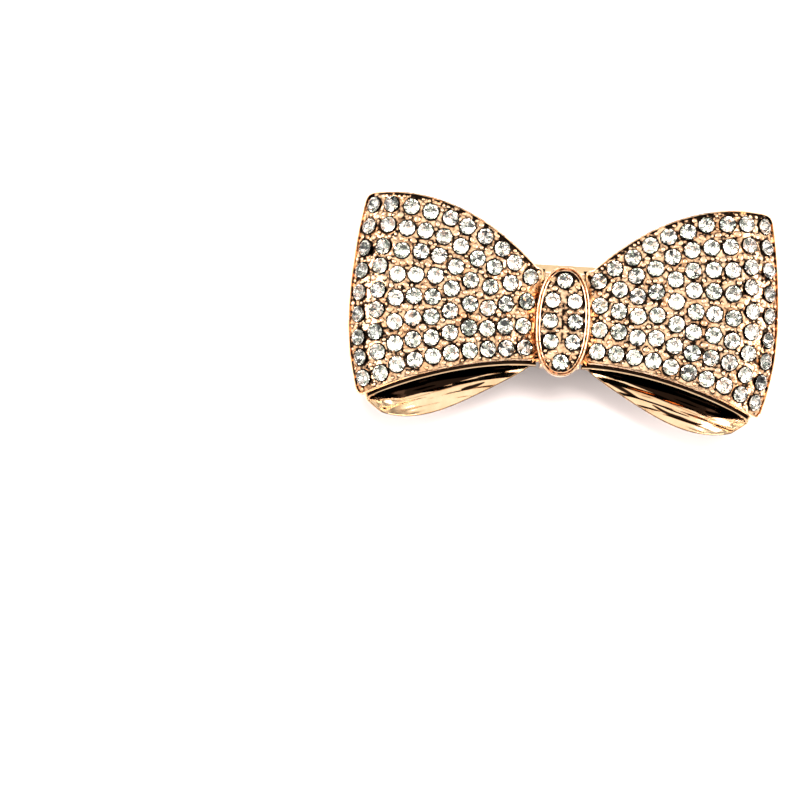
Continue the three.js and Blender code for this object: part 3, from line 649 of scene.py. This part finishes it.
def new_material(name):
    material = bpy.data.materials.new(name)
    material.use_nodes = True
    tree = material.node_tree
    shader = tree.nodes["Principled BSDF"]
    where = node(tree, "ShaderNodeTexCoord").outputs["Object"]
    return material, tree, shader, where


def noise_of(tree, where, scale, detail=3.0, roughness=0.5):
    made = node(tree, "ShaderNodeTexNoise")
    made.inputs["Scale"].default_value = scale
    made.inputs["Detail"].default_value = detail
    made.inputs["Roughness"].default_value = roughness
    tree.links.new(where, made.inputs["Vector"])
    return made.outputs["Fac"]


def ramp_of(tree, fac, stops):
    made = node(tree, "ShaderNodeValToRGB")
    elements = made.color_ramp.elements
    while len(elements) < len(stops):
        elements.new(0.5)
    for element, (position, colour) in zip(elements, stops):
        element.position = position
        element.color = (*colour, 1)
    tree.links.new(fac, made.inputs["Fac"])
    return made.outputs["Color"]


def range_of(tree, fac, least, most, start=0.3, end=0.7):
    made = node(tree, "ShaderNodeMapRange")
    made.inputs["From Min"].default_value = start
    made.inputs["From Max"].default_value = end
    made.inputs["To Min"].default_value = least
    made.inputs["To Max"].default_value = most
    tree.links.new(fac, made.inputs["Value"])
    return made.outputs["Result"]


def bump_of(tree, heights, shader):
    """Bumps stacked one on the next. heights holds (value, depth in metres, strength)."""
    previous = None
    for value, depth, strength in heights:
        made = node(tree, "ShaderNodeBump")
        made.inputs["Distance"].default_value = depth
        made.inputs["Strength"].default_value = strength
        tree.links.new(value, made.inputs["Height"])
        if previous:
            tree.links.new(previous, made.inputs["Normal"])
        previous = made.outputs["Normal"]
    tree.links.new(previous, shader.inputs["Normal"])


def gold(name, light, dark, smooth, rough, wave, wave_scale, stretch=1.0, pits=0.00001, evenness=0.35):
    """Plated metal: warm blotches, worn roughness, polished waves, fine pits, and painted shade and painted
    reflections where the vertices say how dark they are painted.

    wave and pits are depths in metres, and evenness is the share of the painted shade left where it is
    thinnest."""
    material, tree, shader, where = new_material(name)
    tint = ramp_of(tree, noise_of(tree, where, BLOTCHES, 4), [(0.3, dark), (0.62, light)])
    # Painted shade and painted reflections: the vertices' dark amount, broken into patches, darkens the tint.
    painted_dark = node(tree, "ShaderNodeAttribute", attribute_name="painted_dark").outputs["Fac"]
    shade_amount = node(tree, "ShaderNodeMath", operation="MULTIPLY")
    tree.links.new(painted_dark, shade_amount.inputs[0])
    patches = noise_of(tree, where, SHADE_PATCHES, 3)
    patches = range_of(tree, patches, evenness, SHADE_PATCH_SPREAD - evenness, *SHADE_PATCH_RANGE)
    tree.links.new(patches, shade_amount.inputs[1])
    shaded_tint = node(tree, "ShaderNodeMix", data_type="RGBA")
    tree.links.new(shade_amount.outputs[0], shaded_tint.inputs["Factor"])
    tree.links.new(tint, shaded_tint.inputs["A"])
    tree.links.new(ramp_of(tree, shade_amount.outputs[0], SHADE_COLOURS), shaded_tint.inputs["B"])
    tree.links.new(shaded_tint.outputs["Result"], shader.inputs["Base Color"])
    shader.inputs["Metallic"].default_value = 1.0
    wear = noise_of(tree, where, WEAR, 3)
    tree.links.new(range_of(tree, wear, smooth, rough), shader.inputs["Roughness"])
    drawn = node(tree, "ShaderNodeMapping")
    drawn.inputs["Scale"].default_value = (stretch, 1, 1)
    tree.links.new(where, drawn.inputs["Vector"])
    waves = noise_of(tree, drawn.outputs["Vector"], wave_scale, 1.5)
    grain = noise_of(tree, where, GRAIN, 2)
    bump_of(tree, [(waves, wave, 1.0), (grain, pits, 0.6)], shader)
    return material


def glass(name):
    material, tree, shader, where = new_material(name)
    smears = noise_of(tree, where, GLASS_SMEARS, 2)
    tree.links.new(range_of(tree, smears, *GLASS_ROUGHNESS), shader.inputs["Roughness"])
    shader.inputs["Base Color"].default_value = (1.0, 1.0, 1.0, 1)
    shader.inputs["Transmission Weight"].default_value = 1.0
    shader.inputs["IOR"].default_value = STONE_IOR
    bump_of(tree, [(noise_of(tree, where, GLASS_WAVES, 2), FACET_WAVE, 0.35)], shader)
    return material


def foil(name):
    """The mirror behind each stone. Its facets are painted from near black to white, as painted reflections
    of a cut stone, with a little tint that differs between them.
    """
    material, tree, shader, where = new_material(name)
    tone = node(tree, "ShaderNodeAttribute", attribute_name="tone").outputs["Fac"]
    blend = node(tree, "ShaderNodeMath", operation="ADD")
    tree.links.new(tone, blend.inputs[0])
    tree.links.new(range_of(tree, noise_of(tree, where, FOIL_TONES, 1), -0.2, 0.2), blend.inputs[1])
    tree.links.new(ramp_of(tree, blend.outputs[0], FOIL_PAINTED_FACETS), shader.inputs["Base Color"])
    shader.inputs["Metallic"].default_value = 1.0
    wear = noise_of(tree, where, FOIL_WEAR, 2)
    tree.links.new(range_of(tree, wear, *FOIL_ROUGHNESS), shader.inputs["Roughness"])
    bump_of(tree, [(noise_of(tree, where, FOIL_WAVES, 2), FACET_WAVE, 0.4)], shader)
    return material


PLATE_GOLD = gold("bow_gold", (0.98, 0.72, 0.48), (0.87, 0.49, 0.26), 0.07, 0.2, 0.00013, 1100.0,
                  pits=0.00002, evenness=0.12)
SHELL_GOLD = gold("bow_gold_polished", (0.87, 0.635, 0.4), (0.78, 0.5, 0.28), 0.05, 0.16, 0.0002, 420.0,
                  stretch=0.16, evenness=0.6)
SOLDER = gold("solder", (0.8, 0.66, 0.5), (0.5, 0.38, 0.27), 0.3, 0.6, 0.0002, 700.0)
CLIP_GOLD = gold("clip_gold", (0.82, 0.6, 0.35), (0.66, 0.45, 0.25), 0.18, 0.4, 0.00004, 300.0)
SPRING_GOLD = gold("spring_gold", (0.78, 0.59, 0.36), (0.6, 0.42, 0.25), 0.22, 0.48, 0.00003, 500.0)
STONE_GLASS = glass("rhinestone")
STONE_FOIL = foil("rhinestone_foil")


# ---- the loops --------------------------------------------------------------------------------------
def add_stones(name, seats, height, replaced, seed, mirror=False):
    dice = random.Random(seed)
    mesh = Mesh()
    for x, y, r in seats:
        cut_stone(mesh, frame_at(height, x, y), STONE_R * r / SEAT_R * dice.uniform(STONE_LEAST, 1.0), dice)
    made = mesh.build(name, "bow", [STONE_GLASS, STONE_FOIL], mirror, smooth=0)
    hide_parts(replaced)
    return made


def plate_rim_share(x):
    return clamp((x - NECK_X - RIM_START) / RIM_RUN, 0, 1)


def plate_rim_foot_shade(x, y):
    return TOP_RIM_SHADE if y > top_y(x) - TOP_RIM_REACH else LOW_RIM_SHADE


def add_loop_front(side, seed):
    mirror = side == "left"
    dice = random.Random(seed)
    plate = Plate(plate_outline(), PLATE_RIM, front_height, PLATE_THICK, PLATE_FLOOR_SHADE,
                  plate_rim_share, plate_rim_foot_shade)
    seats = settle(plate_seats(seed), plate.fence, front_height, LOOP_RIM_GAP)
    plate.lay(seats, spots_for_beads(seats, plate.fence, dice), [], dice)
    made = plate.build(f"{side}_front", "bow", [PLATE_GOLD], mirror)
    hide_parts(f"{side}_pave_plate")
    first = 0
    for column, count in enumerate(COLUMN_STONES):
        name = f"{side}_stones_{column + 1}"
        part = seats[first:first + count]
        add_stones(name, part, front_height, f"{side}_stone_column_{column + 1}", seed + column, mirror)
        first += count


def back_z(flat):
    rise = BELLY_RISE_OUT if flat > BELLY_X else BELLY_RISE_IN
    return BELLY_Z + rise * (flat - BELLY_X) ** 2


def shell_path():
    """The section of a loop: places along and up, and how far from the front layer to the back one."""
    front = spaced(SHELL_START_X, FOLD_START_X, SHELL_FRONT_STATIONS)
    back = spaced(FOLD_END_X, SHELL_START_X, SHELL_BACK_STATIONS)
    path = [(x, front_z(x) - SHELL_BACKSET, 0.0) for x in front]
    start, end = Vector(path[-1][:2]), Vector((back[0], back_z(back[0])))
    one, two = start + Vector(FOLD_FRONT_HANDLE), end + Vector(FOLD_BACK_HANDLE)
    for k in range(1, FOLD_STEPS):
        t = k / FOLD_STEPS
        spot = start * (1 - t) ** 3 + one * 3 * t * (1 - t) ** 2 + two * 3 * t * t * (1 - t) + end * t ** 3
        path.append((spot.x, spot.y, t))
    return path + [(x, back_z(x), 1.0) for x in back]


def apron(flat):
    """How far the back layer hangs below the front one."""
    run = clamp((flat - APRON_START_X) / APRON_RUN, 0, 1)
    return APRON * math.sqrt(max(math.sin(math.pi * run ** APRON_SKEW), 0))


def wedge(flat):
    """How far below the front layer the back one is still in the dark of the loop."""
    taper = clamp((WEDGE_END - share(flat)) / WEDGE_TAPER, 0, 1)
    return WEDGE * apron(flat) / APRON * mix(WEDGE_NECK, WEDGE_EDGE, share(flat)) * taper


def shell_shade(flat, below, turned, outward, at_lip, side):
    """Painted shade where the loop shades itself: in the step under the plate, and down to the wedge inside;
    with painted dark reflections as a fine line, streaks, a brown band and along the ripples.
    """
    if outward:
        return STEP_SHADE * clamp(1 - STEP_FADE * turned, 0, 1) * (not at_lip)
    if at_lip:
        return LIP_SHADE
    past = below - wedge(flat)
    deep = clamp((-past - DEEP_START) / DEEP_RUN, 0, 1)
    shadow = WEDGE_SHADE * clamp(0.5 - past / WEDGE_BLUR, 0, 1) * mix(1, DEEP_LEAST, deep ** DEEP_POWER)
    line = LINE_DARKNESS * math.exp(-((past - LINE_BELOW) / LINE_WIDTH) ** 2)
    down = below / max(apron(flat), APRON_LEAST)
    sway = STREAK_SWAY * noise.noise(Vector((flat / 2, 0.4, 6.5)))
    band = BROWN_BAND[side] * math.exp(-((down - 0.5 + sway) / BROWN_BAND_WIDTH) ** 2)
    for middle, half, start, end in DARK_STREAKS[side]:
        along = (share(flat) - start) / (end - start)
        if 0 < along < 1:
            width = half * math.sqrt(math.sin(math.pi * along)) * (1 + STREAK_SWELL * sway)
            line = max(line, STREAK_DARKNESS * clamp(STREAK_EDGE - abs(down - middle + sway) / width, 0, 1))
    ripples = clamp(RIPPLE_DARKNESS * (ripple(flat, below) - RIPPLE_START), 0, RIPPLE_MOST)
    return shadow + line + band + ripples


def ripple(flat, below):
    """Long waves that run along the ribbon, from about -1 to 1. Each noise has a pattern of its own."""
    coarse = noise.noise(Vector((flat / 9, below / 0.5, 3.1)))
    fine = noise.noise(Vector((flat / 4, below / 0.25, 8.2)))
    return coarse + 0.4 * fine


def add_loop_shell(side):
    """The folded ribbon behind the plate: a strip with rounded edges, swept along the folded path."""
    path = shell_path()
    runs = spaced(0, SHELL_FINE_RUN, SHELL_FINE_ROWS) + spaced(SHELL_FINE_RUN, 1, SHELL_ROWS)[1:]
    rows = len(runs) - 1
    mesh = Mesh()

    def section(i, sign, trim=0.0):
        flat, z, turned = path[i]
        before, after = path[max(i - 1, 0)], path[min(i + 1, len(path) - 1)]
        along = Vector((after[0] - before[0], after[1] - before[1])).normalized()
        flat, z = flat - along.y * sign * SHELL_THICK / 2, z + along.x * sign * SHELL_THICK / 2
        made = []
        for k, run in enumerate(runs):
            low_inset, high_inset = trim - SHELL_LIP - turned * apron(flat), trim + turned * BACK_TOP_INSET
            x, y = front_point(flat, run, low_inset, high_inset)
            roll = (2 * run - 1) ** 2
            below = bottom_y(x) - SHELL_LIP - y
            shade = shell_shade(flat, below, turned, sign > 0, k == 0, side)
            wave = RIPPLE_DEPTH[side] * turned * ripple(flat, below) * clamp(below + 1, 0, 1)
            made.append(mesh.point(x, y, z + mix(-FRONT_SAG, BACK_CURL, turned) * roll + wave, shade))
        return made

    loops = []
    for i in range(len(path)):
        outer_edge = section(i, SHELL_ROUND)
        outer = section(i, 1.0, SHELL_EDGE)
        inner = section(i, -1.0, SHELL_EDGE)
        inner_edge = section(i, -SHELL_ROUND)
        loop = outer + [outer_edge[-1], inner_edge[-1]] + inner[::-1] + [inner_edge[0], outer_edge[0]]
        loops.append(loop)
    # Only the ends of the edge sections are used: the rest of their vertices are left out.
    used = sorted({v for loop in loops for v in loop})
    renumber = {v: k for k, v in enumerate(used)}
    mesh.points = [mesh.points[v] for v in used]
    mesh.painted_dark = [mesh.painted_dark[v] for v in used]
    loops = [[renumber[v] for v in loop] for loop in loops]
    for before, after in zip(loops, loops[1:]):
        mesh.strip(before, after)
    for end in (loops[0], loops[-1]):
        count = rows + 1
        for k in range(rows):
            mesh.face(end[k], end[k + 1], end[2 * count - k], end[2 * count + 1 - k])
        mesh.face(end[rows], end[count], end[count + 1], end[count + 2])
        mesh.face(end[0], end[-1], end[-2], end[2 * count + 1])
    made = mesh.build(f"{side}_shell", "bow", [SHELL_GOLD], side == "left", smooth=50)
    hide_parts(f"{side}_loop_shell")


# ---- the knot ---------------------------------------------------------------------------------------
KNOT_SIDES = 96
KNOT_FALL = 0.006  # the knot's floor falls away from its middle by this much of the distance squared
KNOT_ROWS = len(KNOT_PAIR_X) + 2
# Slots between the stones: height above the knot's middle, half width, half length.
KNOT_SLOTS = [(0.55, 0.14, 1.5), (-1.85, 0.09, 0.6)]
SLOT_SIDES, SLOT_TURN, SLOT_POWER = 32, 0.1, 0.4
SLOT_STRIP = 0.3  # half width of the strip down the middle that is kept free of beads
CORE_STATIONS, CORE_SIDES, CORE_POWER, CORE_FLARE_SHADE = 24, 120, 0.6, 0.4
PLEATS, PLEAT_DEPTH, PLEAT_SWAY, PLEAT_SHADE = 15, 0.05, 0.6, 10


def knot_outline():
    outline = []
    power = 2 / KNOT_ROUND
    for k in range(KNOT_SIDES):
        c, s = math.cos(math.tau * k / KNOT_SIDES), math.sin(math.tau * k / KNOT_SIDES)
        outline.append((math.copysign(KNOT_HALF_X * abs(c) ** power, c),
                        KNOT_Y + math.copysign(KNOT_HALF_Y * abs(s) ** power, s)))
    return outline


def knot_height(x, y):
    return KNOT_FLOOR_Z - KNOT_FALL * (y - KNOT_Y) ** 2


def slot_outline(rise, half_width, half_length):
    """A long hole with blunt ends."""
    outline = []
    for a in spaced(SLOT_TURN, SLOT_TURN + math.tau, SLOT_SIDES)[:-1]:
        x = math.copysign(half_width * abs(math.cos(a)) ** SLOT_POWER, math.cos(a))
        outline.append((x, KNOT_Y + rise + half_length * math.sin(a)))
    return outline


def add_knot():
    row_y = [KNOT_Y + (KNOT_ROWS // 2 - k) * KNOT_ROW_PITCH for k in range(KNOT_ROWS)]
    seats = [(0.0, row_y[0], SEAT_R)]
    for half, y in zip(KNOT_PAIR_X, row_y[1:]):
        seats += [(-half, y, KNOT_SEAT_R), (half, y, KNOT_SEAT_R)]
    seats.append((0.0, row_y[-1], SEAT_R))
    dice = random.Random(KNOT_SEED)
    plate = Plate(knot_outline(), KNOT_RIM, knot_height, KNOT_FLOOR_Z - KNOT_Z, KNOT_FLOOR_SHADE,
                  lambda x: 1.0, lambda x, y: KNOT_RIM_SHADE)
    seats = settle(seats, plate.fence, knot_height, KNOT_RIM_GAP)
    beads = [(x, y, r) for x, y, r in spots_for_beads(seats, plate.fence, dice) if abs(x) - r > SLOT_STRIP]
    plate.lay(seats, beads, [slot_outline(*slot) for slot in KNOT_SLOTS], dice)
    cap = plate.build("knot_bezel", "bow", [PLATE_GOLD])
    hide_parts("knot_cap")
    for k, seat in enumerate(seats):
        add_stones(f"knot_gem_{k + 1}", [seat], knot_height, f"knot_stone_{k + 1}", KNOT_STONE_SEED + k)


def add_neck_core():
    """The gathered ribbon inside the knot's band: pleats from loop to loop that flare at both ends."""
    mesh = Mesh()
    middle_z = (CORE_LOW_Z + CORE_HIGH_Z) / 2
    loops = []
    for x in spaced(-CORE_HALF_X, CORE_HALF_X, CORE_STATIONS):
        flare = clamp((abs(x) - CORE_BOUND_X) / (CORE_HALF_X - CORE_BOUND_X), 0, 1) ** 2
        loop = []
        for k in range(CORE_SIDES):
            angle = math.tau * k / CORE_SIDES
            pleat = 1 - PLEAT_DEPTH * (1 + math.cos(PLEATS * angle + PLEAT_SWAY * math.sin(x)))
            c, s = math.cos(angle), math.sin(angle)
            half_y = CORE_HALF_Y + CORE_FLARE * flare
            half_z = (CORE_HIGH_Z - CORE_LOW_Z + CORE_FLARE * flare) / 2
            y = math.copysign(half_y * abs(c) ** CORE_POWER, c) * pleat
            z = math.copysign(half_z * abs(s) ** CORE_POWER, s) * pleat
            # Painted shade in the pleats' valleys and where the core flares into the loops.
            shade = PLEAT_SHADE * (1 - pleat) + CORE_FLARE_SHADE * flare
            loop.append(mesh.point(x, BAND_Y + y, middle_z + z, shade))
        loops.append(loop)
    for before, after in zip(loops, loops[1:]):
        mesh.strip(before, after)
    mesh.face(*loops[0])
    mesh.face(*loops[-1])
    core = mesh.build("neck_gathers", "bow", [SHELL_GOLD], smooth=60)
    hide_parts("neck_core")


for side, seed in (("left", LEFT_SEED), ("right", RIGHT_SEED)):
    add_loop_front(side, seed)
    add_loop_shell(side)
add_knot()
add_neck_core()


# ---- finishes of the CAD pieces ---------------------------------------------------------------------
WELD_REACH = 0.000002  # metres
BEVEL_SEGMENTS, BEVEL_ANGLE = 3, 38
# Finish, slot, width of the bevel in millimetres, and the pieces that have them.
FINISHES = [
    (PLATE_GOLD, "bow_gold", 0.12, ["knot_band"]),
    (SOLDER, "solder", 0.15, ["solder_pad_left", "solder_pad_right", "solder_pad_middle"]),
    (CLIP_GOLD, "clip_gold", 0.12, ["clasp_arm", "base_plate"]),
    (CLIP_GOLD, "clip_gold", 0.06, ["hinge_pin", "tension_bar_pin", "catch_plate", "catch_rivet"]),
    (SPRING_GOLD, "spring_gold", 0.05, ["tension_bar", "catch_prong_upper", "catch_prong_lower"]),
]


def dress(name, material, bevel):
    """Rounds the edges of a CAD piece and gives it its finish."""
    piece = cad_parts[name]
    weld = piece.modifiers.new("weld", "WELD")
    weld.merge_threshold = WELD_REACH
    edge = piece.modifiers.new("bevel", "BEVEL")
    edge.width = bevel * MM
    edge.segments = BEVEL_SEGMENTS
    edge.limit_method = "ANGLE"
    edge.angle_limit = math.radians(BEVEL_ANGLE)
    edge.use_clamp_overlap = True
    piece.data.shade_smooth()
    piece.data.materials.clear()
    piece.data.materials.append(material)


for material, slot, bevel, names in FINISHES:
    for name in names:
        dress(name, material, bevel)


# ---- stage ------------------------------------------------------------------------------------------
FLOOR_SIZE, FLOOR_DROP = 4.0, 0.00002  # metres
FLOOR_COLOUR, FLOOR_ROUGHNESS = (0.89, 0.79, 0.765, 1), 0.9
# The room's brightness from straight down (0) over the horizon (0.5) to overhead (1). SKY_SIDES brings the
# bands lower towards the left and the right.
SKY = [(0.5, (0.08, 0.07, 0.07)), (0.66, (0.14, 0.13, 0.13)), (0.76, (1.1, 1.08, 1.06)),
       (0.86, (1.0, 0.98, 0.96)), (0.91, (0.22, 0.21, 0.2)), (0.955, (1.1, 1.08, 1.06)),
       (1.0, (1.1, 1.08, 1.06))]
SKY_STRENGTH, SKY_SIDES = 1.31, 0.3
# Name, place and size in metres, power, colour, and whether it shows in reflections.
LIGHTS = [
    ("key", (0.03, 0.16, 0.58), (0.26, 0.2), 5.5, (1.0, 0.98, 0.96), False),
    ("side", (-0.45, 0.05, 0.35), (0.3, 0.3), 1.5, (1.0, 0.97, 0.95), True),
    ("far_side", (0.45, 0.02, 0.3), (0.3, 0.3), 1.5, (1.0, 0.96, 0.92), True),
]
# The camera's place and aim in the design's millimetres and its roll in radians, as the photograph was taken.
CAMERA_AT, CAMERA_AIM, CAMERA_ROLL = (-10.0, -24.6, 213.0), (-18.13, -11.24, 13.0), 0.064
SENSOR_WIDTH, CAMERA_LENS = 36.0, 78.345  # millimetres
CLIP_START = 0.01  # metres


def add_floor():
    bpy.ops.mesh.primitive_plane_add(size=FLOOR_SIZE, location=(0, 0, -FLOOR_DROP))
    floor = bpy.context.object
    floor.name = "floor"
    material, _, shader, _ = new_material("floor_white")
    shader.inputs["Base Color"].default_value = FLOOR_COLOUR
    shader.inputs["Roughness"].default_value = FLOOR_ROUGHNESS
    floor.data.materials.append(material)


def add_light(name, place, size, power, colour, glossy):
    """An area light that faces the clip."""
    data = bpy.data.lights.new(name, "AREA")
    data.shape = "RECTANGLE"
    data.size, data.size_y = size
    data.energy = power
    data.color = colour
    light = bpy.data.objects.new(name, data)
    light.location = place
    light.rotation_euler = (-Vector(place)).to_track_quat("-Z", "Y").to_euler()
    light.visible_glossy = glossy
    bpy.context.scene.collection.objects.link(light)


def add_world():
    world = bpy.data.worlds.new("world")
    world.use_nodes = True
    tree = world.node_tree
    sky = tree.nodes["Background"]
    where = node(tree, "ShaderNodeTexCoord").outputs["Generated"]
    split = node(tree, "ShaderNodeSeparateXYZ")
    tree.links.new(where, split.inputs[0])
    side = node(tree, "ShaderNodeMath", operation="MULTIPLY")
    tree.links.new(split.outputs["X"], side.inputs[0])
    tree.links.new(split.outputs["X"], side.inputs[1])
    height = node(tree, "ShaderNodeMath", operation="MULTIPLY_ADD")
    tree.links.new(side.outputs[0], height.inputs[0])
    height.inputs[1].default_value = SKY_SIDES
    tree.links.new(range_of(tree, split.outputs["Z"], 0, 1, -1, 1), height.inputs[2])
    tree.links.new(ramp_of(tree, height.outputs[0], SKY), sky.inputs["Color"])
    sky.inputs["Strength"].default_value = SKY_STRENGTH
    bpy.context.scene.world = world


def add_camera():
    eye, aim = (Vector((x, y + SHIFT_Y, z)) * MM for x, y, z in (CAMERA_AT, CAMERA_AIM))
    away = (eye - aim).normalized()
    up = Vector((-math.sin(CAMERA_ROLL), math.cos(CAMERA_ROLL), 0))
    right = up.cross(away).normalized()
    turn = Matrix((right, away.cross(right), away)).transposed()
    data = bpy.data.cameras.new("camera")
    data.sensor_width = SENSOR_WIDTH
    data.lens = CAMERA_LENS
    data.clip_start = CLIP_START
    camera = bpy.data.objects.new("camera", data)
    camera.matrix_world = Matrix.Translation(eye) @ turn.to_4x4()
    bpy.context.scene.collection.objects.link(camera)
    bpy.context.scene.camera = camera


add_floor()
add_world()
for light in LIGHTS:
    add_light(*light)
add_camera()
scene = bpy.context.scene
scene.view_settings.view_transform = "Standard"
scene.cycles.caustics_reflective = False
scene.cycles.caustics_refractive = False
